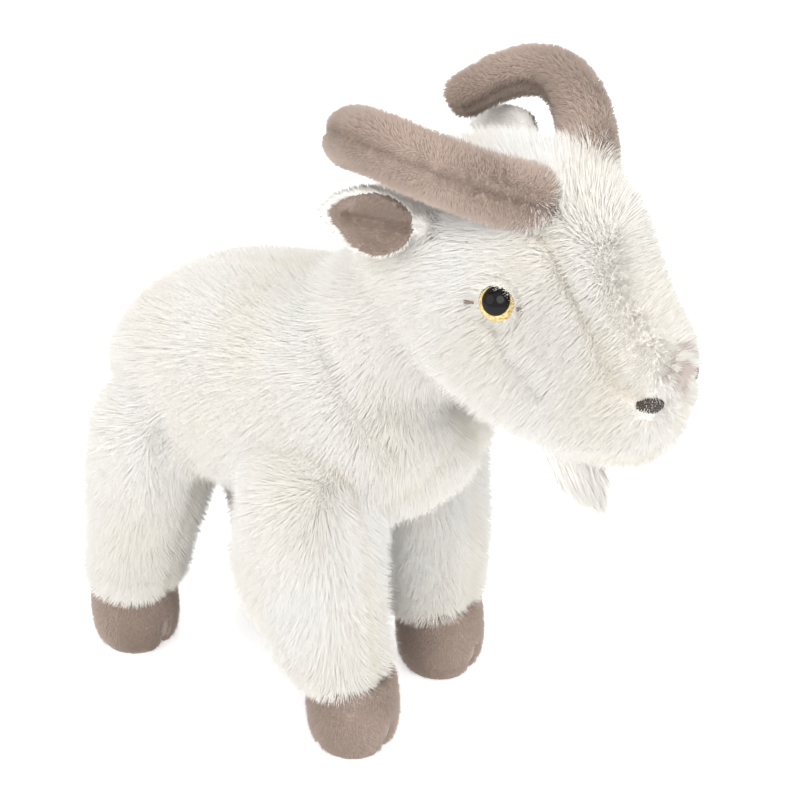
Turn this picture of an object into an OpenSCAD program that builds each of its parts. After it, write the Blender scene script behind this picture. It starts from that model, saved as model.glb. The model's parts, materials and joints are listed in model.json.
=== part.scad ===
// Stuffed mountain goat in long white plush with taupe horns, ear linings and hooves.
// The goat looks along -Y, its left side is +X, and the floor is Z = 0.

/* [Body] */
// Length of the body from chest to rump
body_len = 134; // [110:1:170]
// Width of the body
body_w = 76; // [64:1:92]
// Height of the body at its middle
body_h = 82; // [70:1:96]
// Height of the body's middle above the floor
body_z = 113; // [104:1:122]
// Distance of the body's middle behind the part's origin
body_y = 30; // [20:1:40]
// How far the rump lies below the withers, as half of the drop
body_drop = 6; // [0:0.5:12]
// Roundness of the chest and the rump
body_round = 3.2; // [2:0.1:5]

/* [Legs] */
// Height of the shoulder and hip joints above the floor
hip_z = 92; // [84:1:100]
// Distance between the left and the right front leg joints
front_hip_gap = 58; // [50:1:60]
// Distance between the left and the right hind leg joints
hind_hip_gap = 50; // [48:1:60]
// Place of the front leg joints along the body
front_hip_y = 1; // [-5:1:6]
// Place of the hind leg joints along the body
hind_hip_y = 68; // [62:1:76]
// Radius of a leg at its joint
leg_top_r = 21.5; // [18:0.5:24]
// Radius of a leg just above its hoof
leg_low_r = 16; // [13:0.5:18]
// How much deeper the front legs are at the elbow than they are wide
elbow_deep = 7.5; // [0:0.5:8]
// How far each leg swings forward and back, in degrees
leg_swing = 12; // [6:1:14]

/* [Hooves] */
// Distance between the left and the right hooves
track = 51; // [44:1:60]
// Place of the front hooves along the body
front_foot_y = -12; // [-20:1:-4]
// How far the front hooves reach ahead of their legs
toe_ahead = 4; // [0:0.5:5]
// Place of the right hind hoof along the body
hind_foot_y = 85; // [78:1:90]
// How far the left hind hoof stands ahead of the right one
hind_step = 29; // [0:1:32]
// Radius of a hoof
hoof_r = 14.5; // [12:0.1:16]
// Height of a hoof
hoof_h = 23; // [18:0.5:26]
// Thickness of the sole
sole_t = 2; // [1.5:0.5:3]

/* [Neck] */
// Height of the joint between neck and body
neck_z = 140; // [132:1:148]
// Place of the joint between neck and body along the body
neck_y = -8; // [-14:1:-2]
// Radius of the neck at the body
neck_low_r = 28; // [24:0.5:30]
// Radius of the neck at the head
neck_top_r = 24; // [20:0.5:26]
// How far the neck nods up and down, in degrees
neck_swing = 10; // [5:1:12]

/* [Head] */
// Height of the joint between head and neck
head_z = 174; // [168:1:182]
// Place of the joint between head and neck along the body
head_y = -37.5; // [-44:0.5:-32]
// Length of the head from nose to nape
head_len = 106; // [88:1:127]
// Width of the head at the cheeks
head_w = 64; // [54:1:77]
// Height of the head at the forehead
head_h = 88; // [74:1:106]

/* [Eyes] */
// Diameter of the eye's dome
eye_d = 10.4; // [8:0.1:13]
// How high the dome stands above its flat back
eye_dome = 3.8; // [3:0.1:5]
// Radius of the eye's shank
shank_r = 1.5; // [1:0.1:2]
// Radius of the washer that locks the shank
washer_r = 5.5; // [4:0.1:7]
// Thickness of the washer
washer_t = 1.2; // [0.8:0.1:2]
// Place of the eyes ahead of the head joint, in parts of a hundred of the head's length
eye_fwd = 26.5; // [20:0.5:34]
// Height of the eyes above the head joint
eye_up = 6; // [0:0.5:12]

/* [Horns] */
// Distance between the middles of the two horn bases
horn_gap = 32; // [30:1:40]
// Radius of a horn at its base
horn_base_r = 8.2; // [7:0.1:10]
// Radius of the right horn near its tip
horn_tip_r = 7.2; // [5:0.1:8]
// How far a horn sweeps back from its base
horn_reach = 52; // [42:1:62]
// How far a horn arches above its base
horn_rise = 21.5; // [16:0.5:28]
// How far a horn arches outwards from its base
horn_spread = 34; // [26:1:40]
// Radius of the left horn near its tip
left_tip_r = 5.6; // [4:0.1:8]
// How far the right horn's tip is lifted above the left one's
right_lift = 2.5; // [0:0.5:8]
// How much further the right horn sweeps back than the left one
right_sweep = 4; // [0:0.5:8]
// How far a horn's tip flexes up and down, in degrees
horn_flex = 4; // [2:1:6]

/* [Ears and tail] */
// Length of an ear
ear_len = 27; // [22:1:33]
// Width of an ear
ear_w = 19; // [14:1:24]
// How far an ear swings out from the head, in degrees
ear_flap = 20; // [5:1:25]
// Length of the tail
tail_len = 22; // [16:1:28]
// Radius of the tail at its thickest
tail_r = 7; // [5:0.5:8]
// How far the tail lifts, in degrees
tail_lift = 30; // [10:1:40]

/* [Fabric] */
// Thickness of the long white plush with its pile
plush_t = 4; // [3:0.25:5]
// Thickness of the short taupe plush with its pile
felt_t = 2; // [1.5:0.25:2.5]
// Gap between pieces that move against each other
gap = 0.5; // [0.4:0.05:0.8]

/* [Hidden] */
$fn = 44;
white_plush = "#efece6";
cream_plush = "#e5dfd3";
taupe_plush = "#a3938a";
stuffing = "#f7f7f5";
black_gloss = "#241f1c";
step_deg = 15;           // Turn between the points of a ring
tip_r = 0.3;             // Radius of the last ring where a shape closes
ball_room = 1.4;         // Room around the ball of a joint
tube_room = 1.5;         // Room around a swinging limb
side = [1, 0, 0];
function unit(v) = v / norm(v);
function blend(a, b, t) = a + (b - a) * t;
function flat(rows) = [for (row = rows) each row];
// Points from one angle to another, on an ellipse at place c across the direction along
function ring(c, along, w, h, from, to, s = side, n = 0) = let (up = cross(s, along),
    steps = n > 0 ? n : round((to - from) / step_deg))
    [for (k = [0 : steps]) let (a = from + (to - from) * k / steps) c + s * w * cos(a) + up * h * sin(a)];
function grid(rows, cols, at, inside) = [for (i = [0 : rows - 2]) for (j = [0 : cols - 2])
    let (a = at + i * cols + j, b = a + 1, c = b + cols, d = a + cols)
    each inside ? [[a, c, b], [a, d, c]] : [[a, b, c], [a, c, d]]];
// Closes the gap between the rims of two grids along a chain of point numbers.
// Neighbouring panels run along their seam in opposite directions, so one of them is turned to match.
function rim(chain, skip, turned) = [for (k = [0 : len(chain) - 2])
    let (a = chain[k], b = chain[k + 1])
    each turned ? [[a, a + skip, b], [b, a + skip, b + skip]] : [[a, b + skip, b], [a, a + skip, b + skip]]];

// Closed wall between an outer and an inner grid of points
module wall(outer, inner) {
    m = len(outer);
    n = len(outer[0]);
    k = m * n;
    there = concat([for (j = [0 : n - 1]) j], [for (i = [1 : m - 1]) i * n + n - 1]);
    back = concat([for (j = [n - 1 : -1 : 0]) (m - 1) * n + j], [for (i = [m - 2 : -1 : 0]) i * n]);
    polyhedron(points = concat(flat(outer), flat(inner)),
        faces = concat(grid(m, n, 0, false), grid(m, n, k, true), rim(there, k, false), rim(back, k, true)));
}

// Solid through full rings, whose last point repeats the first
module loft(rings) {
    m = len(rings);
    n = len(rings[0]) - 1;
    body = [for (i = [0 : m - 2]) for (j = [0 : n - 1])
        let (a = i * n + j, b = i * n + (j + 1) % n, c = b + n, d = a + n) each [[a, b, c], [a, c, d]]];
    first = [for (j = [n - 1 : -1 : 0]) j];
    last = [for (j = [0 : n - 1]) (m - 1) * n + j];
    polyhedron(points = [for (r = rings) for (j = [0 : n - 1]) r[j]], faces = concat(body, [first, last]));
}

// Room for the ball of a joint and for the limb that swings under it from one angle to another
module socket(at, r, from, to, reach) {
    ball = r + ball_room;
    tube = r + tube_room;
    half = (to - from) / 2;
    rows = concat([for (d = [75 : -25 : 0]) [ball * cos(d), ball * sin(d), 0]],
        [for (down = [0.35, 1]) [tube, -reach * down, reach * down * tan(half)]]);
    translate(at) rotate([(from + to) / 2, 0, 0]) loft([for (row = rows) [for (a = [0 : step_deg : 360])
        [row[0] * cos(a), row[0] * sin(a) + (a % 360 < 180 ? row[2] : -row[2]), row[1]]]]);
}

// ---- Body: two side panels and a belly panel around the stuffing ----
belly_deg = 45;          // Half the turn that the belly panel takes
body_steps = 14;
function body_fill(t) = max(1 - pow(abs(t), body_round), 0.0001);
function body_ring(k, t_in, from, to) = let (t = sin(-90 + 180 * k / body_steps), f = sqrt(body_fill(t)))
    ring([0, body_y + t * (body_len / 2 - t_in), body_z - body_drop * t], [0, 1, 0],
        max((body_w / 2 - t_in) * f, tip_r), max((body_h / 2 - body_drop * t - t_in) * f, tip_r), from, to);
function body_rings(t_in, from, to) = [for (k = [0 : body_steps]) body_ring(k, t_in, from, to)];
module leg_clearance(picked) {
    for (k = picked) let (aim = leg_lean(k) + legs[k][3], swings = leg_swings(k))
        socket(leg_at(k), leg_top_r, aim + swings[0], aim + swings[1], 60);
}
module neck_clearance() socket(neck_at, neck_low_r, 180 - neck_lean - neck_swing, 180 - neck_lean + neck_swing, 70);
module tail_clearance() socket(tail_at, tail_r, tail_slope, tail_slope + tail_lift, 40);
module side_panel(from, to, picked) {
    color(white_plush) difference() {
        wall(body_rings(0, from, to), body_rings(plush_t, from, to));
        leg_clearance(picked);
        neck_clearance();
        tail_clearance();
    }
}
module body_panel_left() side_panel(belly_deg - 90, 90, [0, 2]);
module body_panel_right() side_panel(90, 270 - belly_deg, [1, 3]);
module belly_panel() {
    color(white_plush) difference() {
        wall(body_rings(0, 270 - belly_deg, 270 + belly_deg), body_rings(plush_t, 270 - belly_deg, 270 + belly_deg));
        leg_clearance([0 : 3]);
        tail_clearance();
    }
}
module body_stuffing() {
    color(stuffing) difference() {
        loft(body_rings(plush_t, 0, 360));
        leg_clearance([0 : 3]);
        neck_clearance();
        tail_clearance();
    }
}

// ---- Tail: a short flat drop that hangs from the rump ----
tail_slope = 35;         // Angle between the tail and straight down
tail_at = [0, body_y + body_len / 2 - 1, body_z - 2];
tail_dir = [0, sin(tail_slope), -cos(tail_slope)];
tail_rows = [[-0.26, 0.15], [-0.2, 0.55], [-0.08, 0.8], [0.1, 0.86], [0.4, 1], [0.7, 0.92], [0.9, 0.62], [1, 0.2]];
module tail_half(from, to) {
    rows = [for (r = tail_rows) ring(tail_at + tail_dir * r[0] * tail_len, tail_dir,
        tail_r * r[1], tail_r * r[1] * 0.8, from, to)];
    core = [for (r = tail_rows) ring(tail_at + tail_dir * r[0] * tail_len * 0.96, tail_dir,
        tip_r, tip_r, from, to)];
    color(white_plush) wall(rows, core);
}
module tail_upper() tail_half(0, 180);
module tail_under() tail_half(180, 360);

// ---- Legs: an outer and an inner panel around the stuffing, on a hoof ----
// Each row: side, joint's place along the body, hoof's place along the body, extra depth at the elbow,
// distance of the joint from the middle, place of the hoof ahead of the leg's end
legs = [[1, front_hip_y, front_foot_y, elbow_deep, front_hip_gap / 2, toe_ahead],
    [-1, front_hip_y, front_foot_y, elbow_deep, front_hip_gap / 2, toe_ahead],
    [1, hind_hip_y - 4, hind_foot_y - hind_step, 0, hind_hip_gap / 2, 0],
    [-1, hind_hip_y, hind_foot_y, 0, hind_hip_gap / 2, 0]];
function leg_swings(k) = [-leg_swing - legs[k][3], leg_swing + 2 * legs[k][3]];
function leg_at(k) = [legs[k][0] * legs[k][4], legs[k][1], hip_z];
function foot_at(k) = [legs[k][0] * track / 2, legs[k][2], hoof_h];
function leg_end(k) = foot_at(k) + [0, legs[k][5], 0];
function leg_lean(k) = atan2(leg_end(k)[1] - legs[k][1], hip_z - hoof_h);
leg_dome = [88, 66, 45, 26, 10];
leg_runs = [0, 0.2, 0.4, 0.6, 0.8, 1];
function leg_r(s) = blend(leg_top_r, leg_low_r, s * s * (3 - 2 * s));
function leg_rings(k, t_in, from, to) = let (a = leg_at(k), b = leg_end(k), r = leg_top_r - t_in) concat(
    [for (d = leg_dome) ring(a + [0, 0, r * sin(d)], [0, 0, -1], r * cos(d), r * cos(d), from, to)],
    [for (s = leg_runs) let (q = leg_r(s) - t_in, deep = legs[k][3] * pow(sin(180 * s), 2))
        ring(blend(a, b, s) + [0, deep, 0], [0, 0, -1], q, q + deep, from, to)]);
module leg_panel(k, outer) {
    from = (outer == (legs[k][0] > 0)) ? -90 : 90;
    color(white_plush) wall(leg_rings(k, 0, from, from + 180), leg_rings(k, plush_t, from, from + 180));
}
module leg_core(k) {
    foot = foot_at(k);
    color(stuffing) {
        loft(leg_rings(k, plush_t, 0, 360));
        translate([foot[0], foot[1], sole_t])
            cylinder(r = min(leg_low_r - plush_t, boot_line(felt_t)[0][0]) - gap, h = hoof_h - sole_t);
    }
}
// Outline of the boot-shaped hoof, pulled in by the given amount
function boot_line(t_in) = [for (a = [-80 : 10 : 60]) [hoof_r - t_in - 3 * (1 - cos(a)),
    sole_t + (hoof_h - sole_t) * (sin(a) + sin(80)) / (sin(60) + sin(80))]];
module hoof(k) {
    shape = concat(boot_line(0), [for (i = [14 : -1 : 0]) boot_line(felt_t)[i]]);
    color(taupe_plush) translate([foot_at(k)[0], foot_at(k)[1], 0]) rotate_extrude() polygon(shape);
}
module sole(k) {
    color(taupe_plush) translate([foot_at(k)[0], foot_at(k)[1], 0]) cylinder(r = boot_line(0)[0][0], h = sole_t);
}
module front_left_leg_outer() leg_panel(0, true);
module front_left_leg_inner() leg_panel(0, false);
module front_left_leg_stuffing() leg_core(0);
module front_left_hoof() hoof(0);
module front_left_sole() sole(0);
module front_right_leg_outer() leg_panel(1, true);
module front_right_leg_inner() leg_panel(1, false);
module front_right_leg_stuffing() leg_core(1);
module front_right_hoof() hoof(1);
module front_right_sole() sole(1);
module hind_left_leg_outer() leg_panel(2, true);
module hind_left_leg_inner() leg_panel(2, false);
module hind_left_leg_stuffing() leg_core(2);
module hind_left_hoof() hoof(2);
module hind_left_sole() sole(2);
module hind_right_leg_outer() leg_panel(3, true);
module hind_right_leg_inner() leg_panel(3, false);
module hind_right_leg_stuffing() leg_core(3);
module hind_right_hoof() hoof(3);
module hind_right_sole() sole(3);

// ---- Neck: two panels between the ball in the body and the ball in the head ----
neck_at = [0, neck_y, neck_z];
head_at = [0, head_y, head_z];
neck_dir = unit(head_at - neck_at);
neck_lean = atan2(neck_dir[1], neck_dir[2]);
neck_dome = [86, 64, 44, 24, 8];
function neck_rings(t_in, from, to) = let (a = neck_low_r - t_in, b = neck_top_r - t_in) concat(
    [for (d = neck_dome) ring(neck_at - neck_dir * a * sin(d), neck_dir, a * cos(d), a * cos(d), from, to)],
    [for (s = [0.1, 0.5, 0.9]) let (r = blend(a, b, s) - 0.3)
        ring(blend(neck_at, head_at, s), neck_dir, r, r, from, to)],
    [for (k = [4 : -1 : 0]) let (d = neck_dome[k])
        ring(head_at + neck_dir * b * sin(d), neck_dir, b * cos(d), b * cos(d), from, to)]);
module neck_half(from) {
    color(cream_plush) wall(neck_rings(0, from, from + 180), neck_rings(plush_t, from, from + 180));
}
module neck_panel_left() neck_half(-90);
module neck_panel_right() neck_half(90);
module neck_stuffing() color(stuffing) loft(neck_rings(plush_t, 0, 360));

// ---- Head: rows of [ahead, top, bottom, half width], in parts of a hundred, and the gusset seam's angle ----
head_rows = [[70, -15, -30, 14, 0], [67, -4, -43, 42, 0], [59, 10, -52, 56, 10], [49, 29, -55, 68, 30],
    [39, 41, -56, 82, 45], [28, 46, -55, 94, 55], [14, 47, -49, 100, 62], [0, 43, -36, 100, 66],
    [-14, 35, -20, 88, 66], [-24, 25, -7, 62, 66], [-30, 14, 3, 22, 66]];
nose_r = 7;              // Radius of the nose patch
chin_deg = 30;           // Half the turn that the chin panel takes
head_fit = 0.5;          // Slack between the head's panels and its stuffing
function head_ring(r, t_in, from, to, n) = let (shrink = 1 - 2 * t_in / head_len,
    high = (r[1] - r[2]) / 200 * head_h, wide = r[3] / 200 * head_w, mid = (r[1] + r[2]) / 200 * head_h)
    ring(head_at + [0, -r[0] / 100 * head_len * shrink, mid], [0, 1, 0],
        max(wide - t_in, tip_r), max(high - t_in, tip_r), from, to, side, n);
// Rows over the top between the two gusset seams, down one side, or round the whole head
function gusset_rings(t_in, first, last) = [for (i = [first : last]) let (r = head_rows[i])
    head_ring(r, t_in, r[4], 180 - r[4], 8)];
function cheek_rings(t_in) = [for (r = head_rows) head_ring(r, t_in, chin_deg - 90, r[4], 8)];
function chin_rings(t_in) = [for (r = head_rows) head_ring(r, t_in, 270 - chin_deg, 270 + chin_deg, 4)];
function whole_rings(t_in) = [for (r = head_rows) head_ring(r, t_in, 0, 360, 24)];
function head_column(i) = [for (k = [len(head_rows) - 1 : -1 : 0]) [head_rows[k][0], head_rows[k][i]]];
// Top, middle height and half width of the head, at a place ahead of its joint
function head_top(ahead) = lookup(ahead, head_column(1)) * head_h / 100;
function head_bottom(ahead) = lookup(ahead, head_column(2)) * head_h / 100;
function head_mid(ahead) = (head_top(ahead) + head_bottom(ahead)) / 2;
function head_wide(ahead) = lookup(ahead, head_column(3)) * head_w / 200;
// A point on the head's surface: on its left side at a height, or on its top at a distance from the middle
function head_side(ahead, up) = let (q = (up - head_mid(ahead)) / (head_top(ahead) - head_mid(ahead)))
    head_at + [head_wide(ahead) * sqrt(1 - q * q), -ahead / 100 * head_len, up];
function head_roof(ahead, x) = let (q = x / head_wide(ahead))
    head_at + [x, -ahead / 100 * head_len, head_mid(ahead) + (head_top(ahead) - head_mid(ahead)) * sqrt(1 - q * q)];
module neck_room() {
    reach = norm(head_at - neck_at) + 20;
    slope = (neck_low_r - neck_top_r) / norm(head_at - neck_at);
    translate(head_at) {
        sphere(r = neck_top_r + gap);
        rotate([180 - neck_lean, 0, 0])
            cylinder(r1 = neck_top_r + gap, r2 = neck_top_r + gap + slope * reach, h = reach);
    }
}
module both_sides() {
    children();
    mirror([1, 0, 0]) children();
}
module head_room() {
    neck_room();
    horn_room(0);
    mirror([1, 0, 0]) horn_room(1);
    both_sides() {
        ear_room();
        eye_room();
        mouth_disc();
    }
}
module head_part(outer, inner) {
    color(white_plush) difference() {
        wall(outer, inner);
        head_room();
    }
}
module nose_ball() translate(head_at + [0, -0.69 * head_len, -0.17 * head_h]) sphere(r = nose_r);
module face_gusset() {
    difference() {
        head_part(gusset_rings(0, 0, 10), gusset_rings(plush_t, 0, 10));
        nose_ball();
    }
}
module cheek_panel_left() head_part(cheek_rings(0), cheek_rings(plush_t));
module cheek_panel_right() mirror([1, 0, 0]) cheek_panel_left();
module chin_panel() head_part(chin_rings(0), chin_rings(plush_t));
module head_stuffing() {
    color(stuffing) difference() {
        loft(whole_rings(plush_t + head_fit));
        head_room();
    }
}
module nose_patch() {
    color(taupe_plush) intersection() {
        wall(gusset_rings(0, 0, 2), gusset_rings(plush_t, 0, 2));
        nose_ball();
    }
}

// ---- Mouth: a dark patch at each corner of the mouth ----
mouth_at = head_side(66, -20);
mouth_r = 3.2;
module mouth_disc() {
    translate(mouth_at) rotate([0, 100, -40]) translate([0, 0, -2.5]) cylinder(r = mouth_r, h = 3.2);
}
module mouth_patches() color(black_gloss) both_sides() mouth_disc();

// ---- Beard: a pointed tuft under the chin ----
beard_top = head_at + [0, -0.31 * head_len, head_bottom(31) - gap];
beard_rows = [[0, 5.5, 10.5, 0], [6, 5, 9, -3], [11, 3.8, 6.5, -6], [15, 2, 3.6, -9.5], [18, tip_r, tip_r, -12]];
module beard() {
    color(white_plush) loft([for (r = beard_rows)
        ring(beard_top + [0, r[3], -r[0]], [0, 0, -1], r[1], r[2], 0, 360)]);
}

// ---- Eyes: a dome on a shank, locked by a washer behind the fabric ----
eye_turn = 18;           // Turn of the eyes towards the nose
eye_tilt = 8;            // Tilt of the eyes upwards
eye_sink = 2.2;          // Depth of the dome's back in the pile
dome_r = (pow(eye_d / 2, 2) + pow(eye_dome, 2)) / 2 / eye_dome;
shank_len = plush_t + washer_t + 3;
eye_at = head_side(eye_fwd, eye_up);
module on_cheek() {
    translate(eye_at) rotate([0, 90 - eye_tilt, -eye_turn]) translate([0, 0, -eye_sink]) children();
}
module eye_room() {
    on_cheek() {
        cylinder(r = eye_d / 2 + 0.2, h = 10);
        translate([0, 0, -shank_len - 1]) cylinder(r = shank_r + 0.1, h = shank_len + 2);
        translate([0, 0, -plush_t - washer_t - 1.2]) cylinder(r = washer_r + 0.2, h = washer_t + 1);
    }
}
module eye() {
    color(black_gloss) on_cheek() {
        intersection() {
            translate([0, 0, eye_dome - dome_r]) sphere(r = dome_r);
            cylinder(r = eye_d, h = eye_dome + 1);
        }
        translate([0, 0, -shank_len]) cylinder(r = shank_r, h = shank_len + 0.5);
    }
}
module washer() {
    color("#dcdcd8") on_cheek() translate([0, 0, -plush_t - washer_t - 0.8]) difference() {
        cylinder(r = washer_r, h = washer_t);
        translate([0, 0, -1]) cylinder(r = shank_r + 0.1, h = washer_t + 2);
    }
}
module eye_left() eye();
module eye_right() mirror([1, 0, 0]) eye();
module eye_washer_left() washer();
module eye_washer_right() mirror([1, 0, 0]) washer();

// ---- Horns: two panels around the stuffing, arched out, up and back ----
horn_ahead = 27.6;       // Place of the horns on the head, in parts of a hundred of its length
horn_steps = 8;
horn_step_deg = 20;      // Turn between the points of a horn's ring
horn_at = head_roof(horn_ahead, horn_gap / 2);
// Each row: sweep and lift of the tip beyond the plain arch, radius near the tip. The left horn comes first.
horns = [[-right_sweep, 0, left_tip_r], [0, right_lift, horn_tip_r]];
function horn_bend(k) = let (back = horn_reach + horns[k][0], lift = horns[k][1])
    [horn_at, horn_at + [horn_spread * 0.64, back * 0.27, horn_rise * 0.4 + lift * 0.2],
    horn_at + [horn_spread, back * 0.62, horn_rise + lift * 0.8],
    horn_at + [horn_spread * 0.28, back, horn_rise * 0.25 + lift]];
function curve(p, t) = pow(1 - t, 3) * p[0] + 3 * pow(1 - t, 2) * t * p[1]
    + 3 * (1 - t) * t * t * p[2] + pow(t, 3) * p[3];
function slope(p, t) = unit(pow(1 - t, 2) * (p[1] - p[0]) + 2 * (1 - t) * t * (p[2] - p[1])
    + t * t * (p[3] - p[2]));
function horn_side(p) = unit(cross(p[3] - p[0], p[1] - p[0]));
horn_tip_dome = [20, 45, 66, 84];
horn_base_dome = [84, 60, 35, 12];
function horn_ring(p, t, r, out, from, to) = let (d = slope(p, t), s = horn_side(p))
    ring(curve(p, t) + d * out, d, r, r, from, to, unit(s - d * (s * d)), (to - from) / horn_step_deg);
function horn_rings(k, t_in, from, to) = let (p = horn_bend(k), a = horn_base_r - t_in, b = horns[k][2] - t_in) concat(
    [for (d = horn_base_dome) horn_ring(p, 0, a * cos(d), -a * sin(d), from, to)],
    [for (i = [0 : horn_steps]) let (t = i / horn_steps) horn_ring(p, t, blend(a, b, t), 0, from, to)],
    [for (d = horn_tip_dome) horn_ring(p, 1, b * cos(d), b * sin(d), from, to)]);
module horn_room(k) {
    aim = slope(horn_bend(k), 0);
    translate(horn_at) {
        sphere(r = horn_base_r + gap);
        for (flex = [-horn_flex, horn_flex]) rotate([flex, 0, 0])
            rotate([0, acos(aim[2]), atan2(aim[1], aim[0])]) cylinder(r = horn_base_r + 2 * gap, h = 24);
    }
}
module horn_half(k, from) {
    color(taupe_plush) wall(horn_rings(k, 0, from, from + 180), horn_rings(k, felt_t, from, from + 180));
}
module horn_core(k) color(stuffing) loft(horn_rings(k, felt_t, -90, 270));
module horn_outer_left() horn_half(0, -90);
module horn_inner_left() horn_half(0, 90);
module horn_stuffing_left() horn_core(0);
module horn_outer_right() mirror([1, 0, 0]) horn_half(1, -90);
module horn_inner_right() mirror([1, 0, 0]) horn_half(1, 90);
module horn_stuffing_right() mirror([1, 0, 0]) horn_core(1);

// ---- Ears: a cupped leaf of white plush with a taupe lining ----
ear_ahead = 2;           // Place of the ears on the head, in parts of a hundred of its length
ear_up = 23;             // Height of the ears above the head joint
ear_root_r = 3.2;
ear_cup = 4.5;           // Depth of the ear's hollow
ear_along = unit([0.32, 0.94, 0.04]);
ear_face = unit(cross(ear_along, cross([0.9, -0.3, 0.15], ear_along)));
ear_across = cross(ear_face, ear_along);
ear_at = head_side(ear_ahead, ear_up) + ear_face * (ear_root_r - 1);
function ear_half_w(u) = ear_w / 2 * max(0.04, pow(sin(180 * pow(u * 0.96 + 0.04, 0.8)), 0.75));
function ear_row(u, lift, shrink) = [for (v = [-1 : 0.25 : 1])
    ear_at + ear_along * (u * ear_len * shrink + 1.5) + ear_across * v * ear_half_w(u) * shrink
        + ear_face * (lift + ear_cup * v * v * ear_half_w(u) / ear_w * 2)];
ear_runs = [0.02, 0.12, 0.26, 0.42, 0.58, 0.74, 0.88, 0.96, 1];
module ear_room() translate(ear_at) sphere(r = ear_root_r + gap);
module ear_leaf(low, high, shrink) {
    wall([for (u = ear_runs) ear_row(u, high, shrink)], [for (u = ear_runs) ear_row(u, low, shrink)]);
}
module ear_back() {
    color(white_plush) union() {
        ear_leaf(0, 2.4, 1);
        translate(ear_at) sphere(r = ear_root_r);
    }
}
module ear_lining() color(taupe_plush) ear_leaf(2.4, 3.6, 0.86);
module ear_back_left() ear_back();
module ear_lining_left() ear_lining();
module ear_back_right() mirror([1, 0, 0]) ear_back();
module ear_lining_right() mirror([1, 0, 0]) ear_lining();

body_panel_left();
body_panel_right();
belly_panel();
body_stuffing();
tail_upper();
tail_under();
front_left_leg_outer();
front_left_leg_inner();
front_left_leg_stuffing();
front_left_hoof();
front_left_sole();
front_right_leg_outer();
front_right_leg_inner();
front_right_leg_stuffing();
front_right_hoof();
front_right_sole();
hind_left_leg_outer();
hind_left_leg_inner();
hind_left_leg_stuffing();
hind_left_hoof();
hind_left_sole();
hind_right_leg_outer();
hind_right_leg_inner();
hind_right_leg_stuffing();
hind_right_hoof();
hind_right_sole();
neck_panel_left();
neck_panel_right();
neck_stuffing();
face_gusset();
cheek_panel_left();
cheek_panel_right();
chin_panel();
head_stuffing();
nose_patch();
mouth_patches();
beard();
eye_left();
eye_right();
eye_washer_left();
eye_washer_right();
horn_outer_left();
horn_inner_left();
horn_stuffing_left();
horn_outer_right();
horn_inner_right();
horn_stuffing_right();
ear_back_left();
ear_lining_left();
ear_back_right();
ear_lining_right();
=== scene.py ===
# A stuffed mountain goat in long white plush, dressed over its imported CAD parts. Metres throughout.
import json
import math

import bmesh
import bpy
import numpy as np
from mathutils import Matrix, Vector
from mathutils.bvhtree import BVHTree
from mathutils.kdtree import KDTree

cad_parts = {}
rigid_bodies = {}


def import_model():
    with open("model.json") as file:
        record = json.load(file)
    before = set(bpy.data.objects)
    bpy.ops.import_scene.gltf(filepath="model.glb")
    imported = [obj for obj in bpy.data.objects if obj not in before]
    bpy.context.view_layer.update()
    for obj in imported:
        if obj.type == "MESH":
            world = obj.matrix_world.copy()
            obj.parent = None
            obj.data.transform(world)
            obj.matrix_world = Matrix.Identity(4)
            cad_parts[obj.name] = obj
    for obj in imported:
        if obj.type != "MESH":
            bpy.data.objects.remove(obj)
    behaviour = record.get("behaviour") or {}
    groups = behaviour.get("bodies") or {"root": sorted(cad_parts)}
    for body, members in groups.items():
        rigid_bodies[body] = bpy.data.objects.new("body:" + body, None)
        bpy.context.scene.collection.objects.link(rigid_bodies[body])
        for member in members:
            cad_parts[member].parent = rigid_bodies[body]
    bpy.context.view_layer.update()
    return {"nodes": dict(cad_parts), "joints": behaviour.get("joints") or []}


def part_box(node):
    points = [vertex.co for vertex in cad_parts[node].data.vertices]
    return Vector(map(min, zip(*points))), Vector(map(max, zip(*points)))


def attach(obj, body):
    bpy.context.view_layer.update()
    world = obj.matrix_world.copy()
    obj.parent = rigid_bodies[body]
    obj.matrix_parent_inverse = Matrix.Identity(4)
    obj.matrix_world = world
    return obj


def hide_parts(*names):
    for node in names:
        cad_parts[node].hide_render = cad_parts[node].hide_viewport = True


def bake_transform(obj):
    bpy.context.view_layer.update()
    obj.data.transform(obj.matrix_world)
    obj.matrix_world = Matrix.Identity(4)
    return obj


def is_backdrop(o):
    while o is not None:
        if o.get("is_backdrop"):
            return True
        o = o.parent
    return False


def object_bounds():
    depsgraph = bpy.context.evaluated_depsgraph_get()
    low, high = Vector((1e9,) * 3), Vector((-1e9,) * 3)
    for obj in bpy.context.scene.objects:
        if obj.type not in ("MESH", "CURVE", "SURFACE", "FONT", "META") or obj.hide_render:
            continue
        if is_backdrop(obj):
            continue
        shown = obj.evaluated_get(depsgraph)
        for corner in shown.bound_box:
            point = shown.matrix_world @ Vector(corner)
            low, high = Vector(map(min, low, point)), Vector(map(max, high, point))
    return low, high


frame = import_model()
nodes = frame["nodes"]
jointAt = {j["name"]: Vector(j["pos_m"]) for j in frame["joints"]}
mm = 0.001
print("frame loaded:", len(nodes), "nodes")


def centreOf(node):
    low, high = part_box(node)
    return (low + high) / 2


def smoothStep(low, high, value):
    t = np.clip((value - low) / (high - low), 0, 1)
    return t * t * (3 - 2 * t)


def unitRows(rows):
    return rows / np.maximum(np.linalg.norm(rows, axis=-1, keepdims=True), 1e-9)


ripples = {"waves": 7, "sizes": (0.6, 1.4), "shifts": (0, 6.28), "calm": 2.6}


def ripple(places, size, seed):
    # Smooth wandering values around 0, from a few crossed waves
    turn = np.random.default_rng(seed)
    total = np.zeros(len(places))
    for _ in range(ripples["waves"]):
        way = turn.normal(size=3)
        way *= 2 * math.pi / size / np.linalg.norm(way) * turn.uniform(*ripples["sizes"])
        total += np.sin(places @ way + turn.uniform(*ripples["shifts"]))
    return total / ripples["calm"]


# Camera, floor and light

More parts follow.
